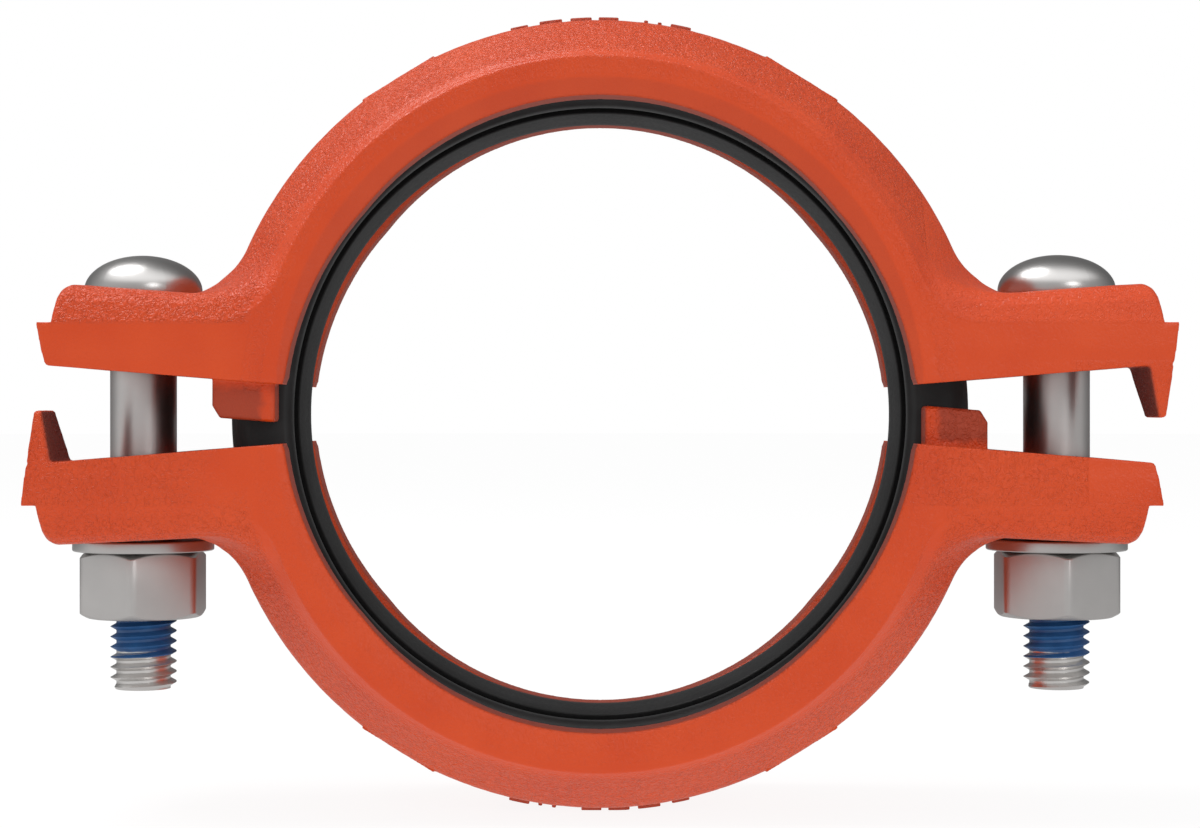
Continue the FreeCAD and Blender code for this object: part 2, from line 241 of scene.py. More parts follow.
enamel, enamel_shader = finish_material("orange_enamel")
enamel_shader.inputs["Specular IOR Level"].default_value = 0.36
enamel_place = shader(enamel, "ShaderNodeTexCoord").outputs["Object"]
skin_mask = shader(enamel, "ShaderNodeAttribute", attribute_name="skin").outputs["Fac"]
painted_shade_mask = shader(enamel, "ShaderNodeAttribute", attribute_name="painted_shade").outputs["Fac"]
pebbles = shader(
    enamel, "ShaderNodeTexNoise", Scale=1150.0, Detail=1.5, Roughness=0.5, Distortion=1.6
)
lumps = shader(enamel, "ShaderNodeTexNoise", Scale=760.0, Detail=1.0, Roughness=0.5)
join(enamel, enamel_place, pebbles.inputs["Vector"], enamel_place, lumps.inputs["Vector"])
enamel_grain = grain_node(enamel, enamel_place, 2600.0, 55.0)
pebble_height = map_range(enamel, pebbles.outputs["Fac"], 0.34, 0.66, 0.0, 1.0)
lump_height = calc(enamel, "MULTIPLY", lumps.outputs["Fac"], 1.6)
fine_height = calc(enamel, "MULTIPLY", enamel_grain.outputs["Grain"], 0.1)
sand_height = calc(enamel, "ADD", pebble_height, lump_height)
skin_height = calc(enamel, "MULTIPLY", sand_height, skin_mask)
relief = calc(enamel, "ADD", skin_height, fine_height)
# Painted shade in the sand skin: the low spots of the pebbles are darkened.
pit_shade = calc(
    enamel, "MULTIPLY", map_range(enamel, pebbles.outputs["Fac"], 0.46, 0.28, 0.0, 0.12), skin_mask
)
cloud_amount = map_range(enamel, enamel_grain.outputs["Clouds"], 0.35, 0.68, 0.0, 1.0)
orange = blend_colours(
    enamel, cloud_amount, (0.580, 0.049, 0.003, 1.0), (0.625, 0.060, 0.005, 1.0)
)
# Painted shade in the pits of the skin.
orange = blend_colours(enamel, pit_shade, orange, (0.46, 0.030, 0.002, 1.0))
# Painted shade: the enamel is darker and rougher in and round the bore, on the hooks' inner faces, on
# the tongues and on the raised marks.
orange = blend_colours(enamel, painted_shade_mask, orange, (0.155, 0.030, 0.018, 1.0))
enamel_roughness = map_range(enamel, enamel_grain.outputs["Clouds"], 0.3, 0.7, 0.35, 0.43)
enamel_roughness = calc(
    enamel, "ADD", enamel_roughness, calc(enamel, "MULTIPLY", painted_shade_mask, 0.3)
)
join(
    enamel,
    orange, enamel_shader.inputs["Base Color"],
    enamel_roughness, enamel_shader.inputs["Roughness"],
    bump(enamel, relief, 0.2 * mm), enamel_shader.inputs["Normal"],
)


def to_mesh(bm, name, body, material, smooth_angle=None):
    """Makes the finished piece from a bmesh, at the origin, and lets it ride on its body."""
    mesh = bpy.data.meshes.new(name)
    bm.to_mesh(mesh)
    bm.free()
    mesh.shade_smooth()
    if smooth_angle:
        mesh.set_sharp_from_angle(angle=math.radians(smooth_angle))
    piece = bpy.data.objects.new(name, mesh)
    bpy.context.scene.collection.objects.link(piece)
    mesh.materials.append(material)
    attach(piece, body)
    return piece


def cast_blank(node):
    """A merged copy of the CAD solid, remeshed into small even faces that keep its edges."""
    bm = bmesh.new()
    bm.from_mesh(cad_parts[node].data)
    bmesh.ops.remove_doubles(bm, verts=bm.verts, dist=0.002 * mm)
    mesh = bpy.data.meshes.new("casting")
    bm.to_mesh(mesh)
    bm.free()
    blank = bpy.data.objects.new("casting", mesh)
    bpy.context.scene.collection.objects.link(blank)
    remesh = blank.modifiers.new("skin", "REMESH")
    remesh.mode = "SHARP"
    remesh.octree_depth = 9
    remesh.scale = 0.99
    remesh.use_remove_disconnected = False
    remeshed = blank.evaluated_get(bpy.context.evaluated_depsgraph_get())
    even = bpy.data.meshes.new_from_object(remeshed)
    bpy.data.objects.remove(blank)
    return even


def ramp(value, start, width):
    """Rises from 0 at the start to 1 over the width."""
    return min(max((value - start) / width, 0.0), 1.0)


def skin_share(co, turned):
    """How much sand skin shows at a point: all on the flanks and the pads, less on the faces."""
    radius = math.hypot(co.x, co.z)
    ring = (radius - flank_start) / (flank_end - flank_start)
    above = (abs(co.z) - parting_line) / (lower_skin_fade if turned else upper_skin_fade) + 0.5
    share = min(max(min(ring, above), 0.0), 1.0)
    if not turned and co.x > right_start:
        share *= right_skin
    if turned and -parting_line < co.z:
        rough = lower_pad_skin if co.x < lower_pad_end else 0.0
        out = abs(co.x - lower_pad_middle)
        share = max(share, rough * ramp(out, lower_pad_start, lower_pad_fade))
    on_hook = abs(co.z) < hook_skin_height and co.x * (-1 if turned else 1) > hook_skin_start
    on_upper_face = co.z > face_skin_low and face_skin_start < radius < flank_start
    if on_hook or on_upper_face:
        share = max(share, lower_hook_skin if turned else upper_hook_skin)
    if turned and co.z < lower_key_level and radius < lower_key_reach:
        share = max(share, lower_key_skin)
    return smooth_skin + (1 - smooth_skin) * share


def painted_shade_share(vert, turned):
    """Painted shade on the enamel: in and round the bore, on the hook's inner face, on the tongues."""
    co, normal = vert.co, vert.normal
    flip = -1 if turned else 1
    radius = math.hypot(co.x, co.z)
    inward = -(co.x * normal.x + co.z * normal.z) / radius
    if radius < key_reach and abs(co.y) > key_inner_face:
        bevel_shade = lower_bevel_shade if turned else upper_bevel_shade
        bevel = ramp(inward, bevel_start, bevel_width) * bevel_shade
        return max(bevel, ramp(inward, bore_start, bore_width) * bore_shade)
    inner = co.x * flip > hook_inner_start and co.z * flip < hook_top
    if inner and normal.x * flip < -hook_start:
        return ramp(-normal.x * flip, hook_start, hook_width)
    if -tongue_outer < co.x * flip < -tongue_inner and co.z * flip < tongue_top:
        return tongue_shade
    return 0.0


def enamel_share(vert, turned):
    """How thick the enamel lies: none at the joint, on the pads' level faces or in the pocket."""
    co, normal = vert.co, vert.normal
    flip = -1 if turned else 1
    radius = math.hypot(co.x, co.z)
    away_from_joint = ramp(abs(co.z), pad_joint, pad_joint_fade)
    if radius < key_reach:
        away_from_joint = ramp(abs(co.z), key_joint, key_joint_fade)
    if co.x * flip > hook_end_start and normal.x * flip > hook_end_facing:
        away_from_joint = 1.0
    in_pocket = radius < pocket_radius and abs(co.y) < pocket_half_width
    on_pad = ramp(abs(co.x), pad_root, pad_root_fade)
    level = on_pad * max(abs(normal.z) - level_start, 0.0) / level_width
    return 0.0 if in_pocket else away_from_joint * (1 - level)


def head_seat(co, turned):
    """How far the top of an upper pad dips: a little towards the ring, more under the bolt's head."""
    if turned or co.z < pad_top or not pad_inner < abs(co.x) < pad_outer:
        return 0.0
    if math.hypot(abs(co.x) - bolt_x, co.y) < seat_radius:
        return co.z - seat_level if co.z > seat_level else 0.0
    towards_ring = ramp(ring_dip_start - abs(co.x), 0.0, ring_dip_width)
    fade = ramp(abs(co.x), pad_inner, pad_inner_fade) * ramp(co.z, pad_top, pad_top_fade)
    return (pad_dip + ring_dip * towards_ring) * mm * fade


def weather(bm, seed, turned):
    """Adds the enamel, lays a sand casting's low waves into the faces, marks its skin and painted
    shade.
    """
    layer = bm.verts.layers.float.new("skin")
    painted_shade_layer = bm.verts.layers.float.new("painted_shade")
    bm.normal_update()
    moves = []
    for vert in bm.verts:
        co = vert.co
        share = skin_share(co, turned)
        vert[layer] = share
        vert[painted_shade_layer] = painted_shade_share(vert, turned)
        place = co + seed
        wave = 0.5 + 0.5 * noise.noise(place / wave_length)
        ripple = 0.5 + 0.5 * noise.noise(place / ripple_length)
        knobs = 0.5 + 0.5 * noise.noise(place / knob_length)
        depth = wave_depth * wave + (ripple_depth + skin_ripple_depth * share) * ripple
        depth += knob_depth * share * knobs
        move = vert.normal * (enamel_depth * enamel_share(vert, turned) - depth * mm)
        moves.append(move - Vector((0.0, 0.0, head_seat(co, turned))))
    for vert, move in zip(bm.verts, moves):
        vert.co += move


def thin_out(piece, share):
    """Takes out the points that flat places don't need, and keeps those along the edges."""
    thinning = piece.modifiers.new("thinning", "DECIMATE")
    thinning.ratio = share
    thinned = piece.evaluated_get(bpy.context.evaluated_depsgraph_get())
    piece.data = bpy.data.meshes.new_from_object(thinned)
    piece.modifiers.clear()


casting = cast_blank("upper_housing")
for node, body, turned, seed in (
    ("upper_housing", "upper_half", False, Vector((0.0, 0.0, 0.0))),
    ("lower_housing", "lower_half", True, Vector((0.31, 0.17, 0.05))),
):
    bm = bmesh.new()
    bm.from_mesh(casting)
    if turned:
        half_turn = Matrix.Rotation(math.pi, 3, "Y")
        bmesh.ops.rotate(bm, cent=(0, 0, 0), matrix=half_turn, verts=bm.verts)
    bmesh.ops.smooth_vert(
        bm, verts=bm.verts, factor=0.35, use_axis_x=True, use_axis_y=True, use_axis_z=True
    )
    flip = -1 if turned else 1
    hook_foot = [
        vert for vert in bm.verts
        if vert.co.x * flip > hook_foot_start
        and hook_foot_low < vert.co.z * flip < hook_foot_high
    ]
    for _ in range(4):
        bmesh.ops.smooth_vert(
            bm, verts=hook_foot, factor=0.5, use_axis_x=True, use_axis_y=True, use_axis_z=True
        )
    weather(bm, seed, turned)
    housing = to_mesh(bm, node.replace("housing", "casting"), body, enamel)
    thin_out(housing, casting_share)
    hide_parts(node)


# Raised marks on the crown of each housing: plain cast bars and studs, left by recesses in the
# mould. They are part of the casting, of the same iron and under the same enamel.

mark_foot = 73.4 * mm
mark_top = 75.2 * mm
small_mark_top = 74.65 * mm
mark_lean = 0.25 * mm
mark_edge = 0.22 * mm
mark_edge_angle = 0.5
mark_step = 0.6
mark_skin = 0.7
# Painted shade darkens the raised marks.
mark_shade = 0.45
mark_bars = (
    # degrees at the left end and the right end, near and far edge in mm, top
    (103.1, 100.5, -8.0, 8.0, mark_top),
    (98.8, 95.5, -9.0, 9.0, mark_top),
    (94.3, 91.2, -9.0, 9.0, mark_top),
    (90.2, 87.3, -9.0, 9.0, mark_top),
    (87.0, 86.4, -8.2, -4.6, small_mark_top),
    (84.8, 84.0, -8.2, -4.6, small_mark_top),
    (83.6, 83.0, -8.4, 8.4, mark_top),
    (82.4, 81.8, -8.2, 8.2, small_mark_top),
    (81.6, 81.0, -8.2, 8.2, mark_top),
    (79.7, 76.7, -8.8, 8.8, mark_top),
)


def mark_bar(bm, left, right, near, far, top):
    """A curved bar: a drafted section with its foot in the crest, spun along the crest."""
    near, far = near * mm, far * mm
    section = [
        (near, mark_foot), (far, mark_foot), (far - mark_lean, top), (near + mark_lean, top),
    ]
    corners = [bm.verts.new((radius, y, 0)) for y, radius in section]
    face = bm.faces.new(corners)
    start = Matrix.Rotation(-math.radians(left), 3, "Y")
    bmesh.ops.rotate(bm, cent=(0, 0, 0), matrix=start, verts=corners)
    steps = max(2, round((left - right) / mark_step))
    bmesh.ops.spin(
        bm, geom=[face], cent=(0, 0, 0), axis=(0, 1, 0), angle=math.radians(left - right),
        steps=steps, use_merge=False, use_duplicate=False,
    )


for node, body, turned in (
    ("upper_marks", "upper_half", False),
    ("lower_marks", "lower_half", True),
):
    bm = bmesh.new()
    for bar in mark_bars:
        mark_bar(bm, *bar)
    bmesh.ops.remove_doubles(bm, verts=bm.verts, dist=0.002 * mm)
    bmesh.ops.recalc_face_normals(bm, faces=bm.faces)
    edges = [
        e for e in bm.edges
        if len(e.link_faces) == 2 and e.calc_face_angle(0) > mark_edge_angle
    ]
    bmesh.ops.bevel(
        bm, geom=edges, offset=mark_edge, segments=2, profile=0.5, affect="EDGES", material=-1
    )
    if turned:
        half_turn = Matrix.Rotation(math.pi, 3, "Y")
        bmesh.ops.rotate(bm, cent=(0, 0, 0), matrix=half_turn, verts=bm.verts)
    layer = bm.verts.layers.float.new("skin")
    painted_shade_layer = bm.verts.layers.float.new("painted_shade")
    for vert in bm.verts:
        vert[layer] = mark_skin
        vert[painted_shade_layer] = mark_shade
    to_mesh(bm, node, body, enamel, 40)


# Gasket: one ring of black EPDM rubber, moulded in a C section. Its two lips bear on the pipes
# and the hollow between them fills with the pipe's pressure. It sits loose in the housings.

rubber, rubber_shader = finish_material("black_rubber")
rubber_shader.inputs["Specular IOR Level"].default_value = 0.25
rubber_place = shader(rubber, "ShaderNodeTexCoord").outputs["Object"]
rubber_grain = grain_node(rubber, rubber_place, 1500.0, 90.0)
rubber_black = blend_colours(
    rubber,
    map_range(rubber, rubber_grain.outputs["Clouds"], 0.35, 0.65, 0.0, 1.0),
    (0.0115, 0.0118, 0.012, 1.0),
    (0.0185, 0.019, 0.0195, 1.0),
)
# Painted shade: the hollow between the lips and the tips of the lips are near black and rougher.
hollow_shade_mask = shader(rubber, "ShaderNodeAttribute", attribute_name="hollow_shade").outputs["Fac"]
rubber_black = blend_colours(rubber, hollow_shade_mask, rubber_black, (0.001, 0.001, 0.001, 1.0))
join(
    rubber,
    rubber_black, rubber_shader.inputs["Base Color"],
    calc(
        rubber, "ADD",
        map_range(rubber, rubber_grain.outputs["Grain"], 0.3, 0.7, 0.40, 0.50),
        calc(rubber, "MULTIPLY", hollow_shade_mask, 0.45),
    ),
    rubber_shader.inputs["Roughness"],
    bump(rubber, rubber_grain.outputs["Grain"], 0.02 * mm), rubber_shader.inputs["Normal"],
)

gasket_section = (
    # distance along the pipe and radius, in mm, from the near lip round the back to the far lip
    (-4.2, 58.55), (-9.7, 57.85), (-12.3, 57.5), (-14.9, 57.45), (-16.2, 58.6),
    (-16.2, 65.6), (-14.6, 67.9), (-11.5, 69.4), (11.5, 69.4), (14.6, 67.9), (16.2, 65.6),
    (16.2, 58.6), (14.9, 57.45), (12.3, 57.5), (9.7, 57.85), (4.2, 58.55),
    (4.0, 60.0), (12.2, 60.4), (12.2, 63.9), (10.2, 66.0), (-10.2, 66.0), (-12.2, 63.9),
    (-12.2, 60.4), (-4.0, 60.0),
)
gasket_steps = 240
hollow_inner = 59.4 * mm
hollow_outer = 66.3 * mm
hollow_half_width = 12.6 * mm
lip_tip_radius = 58.3 * mm
lip_tip_half_width = 4.45 * mm

bm = bmesh.new()
ring = [bm.verts.new((radius * mm, y * mm, 0)) for y, radius in gasket_section]
section_face = bm.faces.new(ring)
bmesh.ops.bevel(
    bm, geom=list(section_face.verts), offset=0.55 * mm, segments=3, profile=0.5,
    affect="VERTICES", material=-1,
)
loop = list(bm.edges)
bmesh.ops.delete(bm, geom=list(bm.faces), context="FACES_ONLY")
bmesh.ops.spin(
    bm, geom=loop + list(bm.verts), cent=(0, 0, 0), axis=(0, 1, 0), angle=2 * math.pi,
    steps=gasket_steps, use_merge=True, use_duplicate=False,
)
bmesh.ops.remove_doubles(bm, verts=bm.verts, dist=0.002 * mm)
bmesh.ops.recalc_face_normals(bm, faces=bm.faces)
# Where painted shade goes on the gasket: the hollow and the tips of the lips.
hollow_shade_layer = bm.verts.layers.float.new("hollow_shade")
for vert in bm.verts:
    radius = math.hypot(vert.co.x, vert.co.z)
    inside = hollow_inner < radius < hollow_outer and abs(vert.co.y) < hollow_half_width
    on_tip = radius > lip_tip_radius and abs(vert.co.y) < lip_tip_half_width
    vert[hollow_shade_layer] = 1.0 if inside or on_tip else 0.0
gasket = to_mesh(bm, "rubber_gasket", "seal", rubber, 50)
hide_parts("gasket")
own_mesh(gasket)


# Track bolts: half inch bolts of carbon steel, forged with a round head over an oval neck that
# keeps them from turning, then rolled with 13 threads an inch and zinc plated. A patch of blue
# thread lock is dried onto the thread, from inside the nut to below it.

pitch = 25.4 / 13 * mm
shank = 6.35 * mm
thread_root = 5.15 * mm
thread_top = -14.0 * mm
thread_fade = 4.0 * mm
end_chamfer = 1.15 * mm
head_radius = 11.25 * mm
head_height = 6.5 * mm
head_dome = 6.8 * mm
head_sunk = 1.0 * mm
head_rim = 0.12 * mm
around = 72
point_length = 0.7 * mm
end_rim = 0.55 * mm
end_dish = 0.25 * mm
neck = 17.4 * mm, 13.4 * mm
neck_height = 7.0 * mm
neck_rim = 0.35 * mm
patch_edge = 0.1 * mm


def zinc_finish(name, roughness, colour, patch=None):
    """Zinc over steel, with soft grain and clouds. A bolt's has thread lock, painted light on the bare
    end and painted shade on the head.
    """
    material, principled = finish_material(name)
    place = shader(material, "ShaderNodeTexCoord").outputs["Object"]
    specks = grain_node(material, place, 1900.0, 160.0)
    clouds = map_range(material, specks.outputs["Clouds"], 0.3, 0.7, 0.0, 1.0)
    dull = tuple(0.95 * c for c in colour[:3]) + (1.0,)
    zinc = blend_colours(material, clouds, dull, colour)
    rough = map_range(material, specks.outputs["Grain"], 0.3, 0.7, roughness - 0.01, roughness + 0.015)
    height = specks.outputs["Grain"]
    principled.inputs["Metallic"].default_value = 1.0
    if patch:
        edge, top, fade = patch
        split = shader(material, "ShaderNodeSeparateXYZ")
        ragged = shader(material, "ShaderNodeTexNoise", Scale=210.0, Detail=3.0, Roughness=0.65)
        join(material, place, split.inputs["Vector"], place, ragged.inputs["Vector"])
        wander = map_range(material, ragged.outputs["Fac"], 0.3, 0.7, -fade, fade)
        across = calc(material, "SUBTRACT", calc(material, "ABSOLUTE", split.outputs["X"], 0.0), bolt_x)
        squared = calc(
            material, "ADD",
            calc(material, "MULTIPLY", across, across),
            calc(material, "MULTIPLY", split.outputs["Y"], split.outputs["Y"]),
        )
        radius = calc(material, "SQRT", squared, 0.0)
        on_crest = map_range(material, radius, thread_root, shank, -0.7 * mm, 0.7 * mm)
        level = calc(material, "ADD", calc(material, "ADD", split.outputs["Z"], wander), on_crest)
        from_edge = map_range(material, level, edge - patch_edge, edge + patch_edge, 0.0, 1.0)
        to_top = map_range(material, level, top - patch_edge, top + patch_edge, 1.0, 0.0)
        covered = calc(material, "MULTIPLY", from_edge, to_top)
        blues = blend_colours(material, clouds, (0.009, 0.055, 0.17, 1.0), (0.020, 0.100, 0.26, 1.0))
        # Painted light: the bare thread below the patch has a lighter zinc, standing in for brighter
        # reflections there.
        bare = calc(material, "SUBTRACT", 1.0, from_edge)
        zinc = blend_colours(material, bare, zinc, (0.62, 0.605, 0.59, 1.0))
        zinc = blend_colours(material, covered, zinc, blues)
        # Painted shade: the head's zinc is darker, dimming the reflections on its dome.
        head = map_range(material, split.outputs["Z"], 15 * mm, 19 * mm, 0.0, 1.0)
        zinc = blend_colours(material, head, zinc, (0.40, 0.392, 0.385, 1.0))
        rough = calc(material, "ADD", rough, calc(material, "MULTIPLY", covered, 0.14))
        rough = calc(material, "SUBTRACT", rough, calc(material, "MULTIPLY", head, 0.04))
        join(material, calc(material, "SUBTRACT", 1.0, covered), principled.inputs["Metallic"])
    join(
        material,
        zinc, principled.inputs["Base Color"],
        rough, principled.inputs["Roughness"],
        bump(material, height, 0.0012 * mm), principled.inputs["Normal"],
    )
    return material


bolt_zinc = zinc_finish(
    "zinc_bolt", 0.34, (0.53, 0.515, 0.505, 1.0), (-46.2 * mm, -33.0 * mm, 0.15 * mm)
)


def grow(bm, edges, place):
    """Extrudes a closed edge loop and puts each new vertex where place says for its angle."""
    extruded = bmesh.ops.extrude_edge_only(bm, edges=edges)
    verts = [g for g in extruded["geom"] if isinstance(g, bmesh.types.BMVert)]
    new_edges = [
        g for g in extruded["geom"]
        if isinstance(g, bmesh.types.BMEdge) and all(v in verts for v in g.verts)
    ]
    for vert in verts:
        turn = math.atan2(vert.co.y, vert.co.x)
        radius, z = place(turn)
        vert.co = (radius * math.cos(turn), radius * math.sin(turn), z)
    return new_edges


def close(bm, edges, z):
    """Closes a loop with a fan that meets at a point on the axis."""
    extruded = bmesh.ops.extrude_edge_only(bm, edges=edges)
    verts = [g for g in extruded["geom"] if isinstance(g, bmesh.types.BMVert)]
    bmesh.ops.pointmerge(bm, verts=verts, merge_co=(0, 0, z))


def oval_radius(turn, length, width):
    """Distance from the axis to the side of an oval whose long side runs along the pipe."""
    straight = (length - width) / 2
    across, along = abs(math.cos(turn)), abs(math.sin(turn))
    flat = width / 2 / across if across > 1e-6 else 2 * length
    if flat * along <= straight:
        return flat
    b = straight * along
    return b + math.sqrt(b * b - straight ** 2 + (width / 2) ** 2)


def circle(radius, z):
    return lambda turn: (radius, z)


def thread(bm, foot, crest_height):
    """Rolled thread up to the plain shank: one tooth, spun round and upwards turn by turn."""
    flat = 0.035 * pitch
    crest = shank - 0.03 * mm
    tooth = [
        (thread_root, 0.0),
        (thread_root + 0.02 * mm, 0.12 * pitch), (thread_root + 0.12 * mm, 0.18 * pitch),
        (crest - 0.07 * mm, 0.5 * pitch - flat), (crest, 0.5 * pitch),
        (crest - 0.07 * mm, 0.5 * pitch + flat),
        (thread_root + 0.12 * mm, 0.82 * pitch), (thread_root + 0.02 * mm, 0.88 * pitch),
        (thread_root, pitch),
    ]
    low = foot - 2 * pitch
    phase = math.pi - 2 * math.pi * ((crest_height - low) / pitch - 0.5)
    verts = [bm.verts.new((radius, 0, low + z)) for radius, z in tooth]
    edges = [bm.edges.new(pair) for pair in zip(verts, verts[1:])]
    turns = math.ceil((thread_top + thread_fade - low) / pitch) + 1
    start = Matrix.Rotation(phase, 3, "Z")
    bmesh.ops.rotate(bm, cent=(0, 0, 0), matrix=start, verts=verts)
    bmesh.ops.spin(
        bm, geom=verts + edges, cent=(0, 0, 0), axis=(0, 0, 1), angle=2 * math.pi * turns,
        dvec=(0, 0, pitch / around), steps=around * turns, use_merge=False, use_duplicate=False,
    )
    bmesh.ops.remove_doubles(bm, verts=bm.verts, dist=0.01 * mm)


def trim(bm, z, keep_above):
    """Cuts level across at a height, and gives back the edges of the cut."""
    cut = bmesh.ops.bisect_plane(
        bm, geom=bm.verts[:] + bm.edges[:] + bm.faces[:], plane_co=(0, 0, z), plane_no=(0, 0, 1),
        dist=0.0005 * mm, clear_inner=keep_above, clear_outer=not keep_above,
    )
    return [g for g in cut["geom_cut"] if isinstance(g, bmesh.types.BMEdge)]


def track_bolt(seat, foot, crest_height):
    """One bolt in one watertight mesh, from its chamfered end to the top of its head."""
    bm = bmesh.new()
    thread(bm, foot, crest_height)
    for vert in bm.verts:
        radius = math.hypot(vert.co.x, vert.co.y)
        fade = ramp(vert.co.z, thread_top, thread_fade)
        fade = fade * fade * (3 - 2 * fade)
        wanted = radius + (shank - radius) * fade
        wanted = min(wanted, shank - end_chamfer + max(vert.co.z - foot, 0.0))
        vert.co.x *= wanted / radius
        vert.co.y *= wanted / radius
    bottom = trim(bm, foot, True)
    bottom = grow(bm, bottom, circle(thread_root - end_rim, foot))
    close(bm, bottom, foot + end_dish)
    edges = trim(bm, thread_top + thread_fade, False)
    neck_foot = seat - neck_height
    for below in (0.85, 0.4):
        edges = grow(bm, edges, circle(shank, neck_foot - below * mm))
    edges = grow(bm, edges, lambda t: (shank + 0.1 * mm, neck_foot))
    edges = grow(bm, edges, lambda t: (oval_radius(t, *neck) - neck_rim, neck_foot + 0.1 * mm))
    edges = grow(bm, edges, lambda t: (oval_radius(t, *neck), neck_foot + 0.5 * mm))
    underside = seat - head_sunk
    edges = grow(bm, edges, lambda t: (oval_radius(t, *neck), underside))
    for turn in (0, 30, 60, 90):
        out = math.sin(math.radians(turn))
        up = 1 - math.cos(math.radians(turn))
        edges = grow(bm, edges, circle(head_radius - head_rim * (1 - out), underside + head_rim * up))
    for radius, z in dome(seat):
        edges = grow(bm, edges, circle(radius, z))
    close(bm, edges, seat + head_height)
    bmesh.ops.remove_doubles(bm, verts=bm.verts, dist=0.001 * mm)
    bmesh.ops.recalc_face_normals(bm, faces=bm.faces)
    return bm


def dome(seat):
    """Radii and heights up the head, which is half an ellipse from its rim to its top."""
    centre = seat + head_height - head_dome
    rings = []
    for step in range(1, 26):
        turn = math.pi / 2 * step / 26
        rings.append((head_radius * math.cos(turn), centre + head_dome * math.sin(turn)))
    return rings


for name, node, x, crest_height in (
    ("left_track_bolt", "left_bolt", -bolt_x, -40.95 * mm),
    ("right_track_bolt", "right_bolt", bolt_x, -40.9 * mm),
):
    low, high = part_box(node)
    bm = track_bolt(high.z - head_height, low.z - point_length, crest_height)
    bmesh.ops.translate(bm, vec=(x, 0, 0), verts=bm.verts)
    bolt = to_mesh(bm, name, "upper_half", bolt_zinc, 32)
    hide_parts(node)


# Washers: hardened flat washers stamped from strip, so the upper edge is rounded where the punch went
# in and the lower one is sharper, then tumbled and zinc plated. Here both edges are drawn rounded
# alike.

washer_zinc = zinc_finish("zinc_washer", 0.36, (0.50, 0.49, 0.48, 1.0))
hole = 6.75 * mm
rim = 13.5 * mm

for name, node, x in (
    ("left_flat_washer", "left_washer", -bolt_x),
    ("right_flat_washer", "right_washer", bolt_x),
):
    low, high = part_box(node)
    bm = bmesh.new()
    section = ((hole, low.z), (rim, low.z), (rim, high.z), (hole, high.z))
    face = bm.faces.new([bm.verts.new((radius, 0, z)) for radius, z in section])
    bmesh.ops.bevel(
        bm, geom=list(face.verts), offset=0.35 * mm, segments=4, profile=0.5,
        affect="VERTICES", material=-1,
    )
    edges = list(bm.edges)
    bmesh.ops.delete(bm, geom=list(bm.faces), context="FACES_ONLY")
    bmesh.ops.spin(
        bm, geom=edges + list(bm.verts), cent=(0, 0, 0), axis=(0, 0, 1), angle=2 * math.pi,
        steps=96, use_merge=True, use_duplicate=False,
    )
    bmesh.ops.remove_doubles(bm, verts=bm.verts, dist=0.002 * mm)
    bmesh.ops.recalc_face_normals(bm, faces=bm.faces)
    bmesh.ops.translate(bm, vec=(x, 0, 0), verts=bm.verts)
    flat_washer = to_mesh(bm, name, "lower_half", washer_zinc, 40)
    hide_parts(node)


# Nuts: heavy hexagon nuts, 22.2 mm across the flats, forged, chamfered on both faces and zinc
# plated. Each is run up on its bolt's thread against the washer, one corner to the front.

nut_zinc = zinc_finish("zinc_nut", 0.38, (0.50, 0.485, 0.475, 1.0))
nut_flat = 22.225 / 2 * mm
nut_face = nut_flat - 0.4 * mm
corner_round = 0.2 * mm
nut_bore = shank + 0.02 * mm
mouth_width = 0.75 * mm
mouth_depth = 0.9 * mm
face_rim = 0.3 * mm
face_drop = 0.04 * mm
chamfer_slope = math.tan(math.radians(30))
nut_edge = 0.16 * mm
nut_edge_angle = 0.35


def hexagon(turn):
    """Distance from the axis to the nut's side, with its corners rounded over a little."""
    off = (turn + math.pi / 6) % (math.pi / 3) - math.pi / 6
    plain = nut_flat / math.cos(off)
    corner = nut_flat / math.cos(math.pi / 6)
    return min(plain, corner - corner_round)


def chamfer(turn, face_z, inward):
    """Where the cone that chamfers a face runs out on the nut's side."""
    radius = hexagon(turn)
    return radius, face_z + inward * (radius - nut_face) * chamfer_slope


for name, node, body, x in (
    ("left_hex_nut", "left_nut", "left_nut", -bolt_x),
    ("right_hex_nut", "right_nut", "right_nut", bolt_x),
):
    low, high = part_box(node)
    bm = bmesh.new()
    made = bmesh.ops.create_circle(bm, cap_ends=False, segments=144, radius=nut_bore)
    bmesh.ops.translate(bm, vec=(0, 0, low.z + mouth_depth), verts=made["verts"])
    first = list(bm.edges)
    edges = grow(bm, first, circle(nut_bore + mouth_width, low.z))
    edges = grow(bm, edges, circle(nut_face - face_rim, low.z))
    edges = grow(bm, edges, circle(nut_face, low.z + face_drop))
    edges = grow(bm, edges, lambda t: chamfer(t, low.z, 1))
    edges = grow(bm, edges, lambda t: chamfer(t, high.z, -1))
    edges = grow(bm, edges, circle(nut_face, high.z - face_drop))
    edges = grow(bm, edges, circle(nut_face - face_rim, high.z))
    edges = grow(bm, edges, circle(nut_bore + mouth_width, high.z))
    edges = grow(bm, edges, circle(nut_bore, high.z - mouth_depth))
    bmesh.ops.bridge_loops(bm, edges=edges + first)
    bmesh.ops.recalc_face_normals(bm, faces=bm.faces)
    sharp = [
        e for e in bm.edges
        if len(e.link_faces) == 2 and e.calc_face_angle(0) > nut_edge_angle
    ]
    bmesh.ops.bevel(
        bm, geom=sharp, offset=nut_edge, segments=2, profile=0.5, affect="EDGES", material=-1
    )
    bmesh.ops.translate(bm, vec=(x, 0, 0), verts=bm.verts)
    nut = to_mesh(bm, name, body, nut_zinc, 40)
    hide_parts(node)


# Studio: a white table that runs far back, a large soft box overhead to the left, a smaller
# lamp at the front right, and white surroundings that the bare metal mirrors.

floor_z = -75.06 * mm

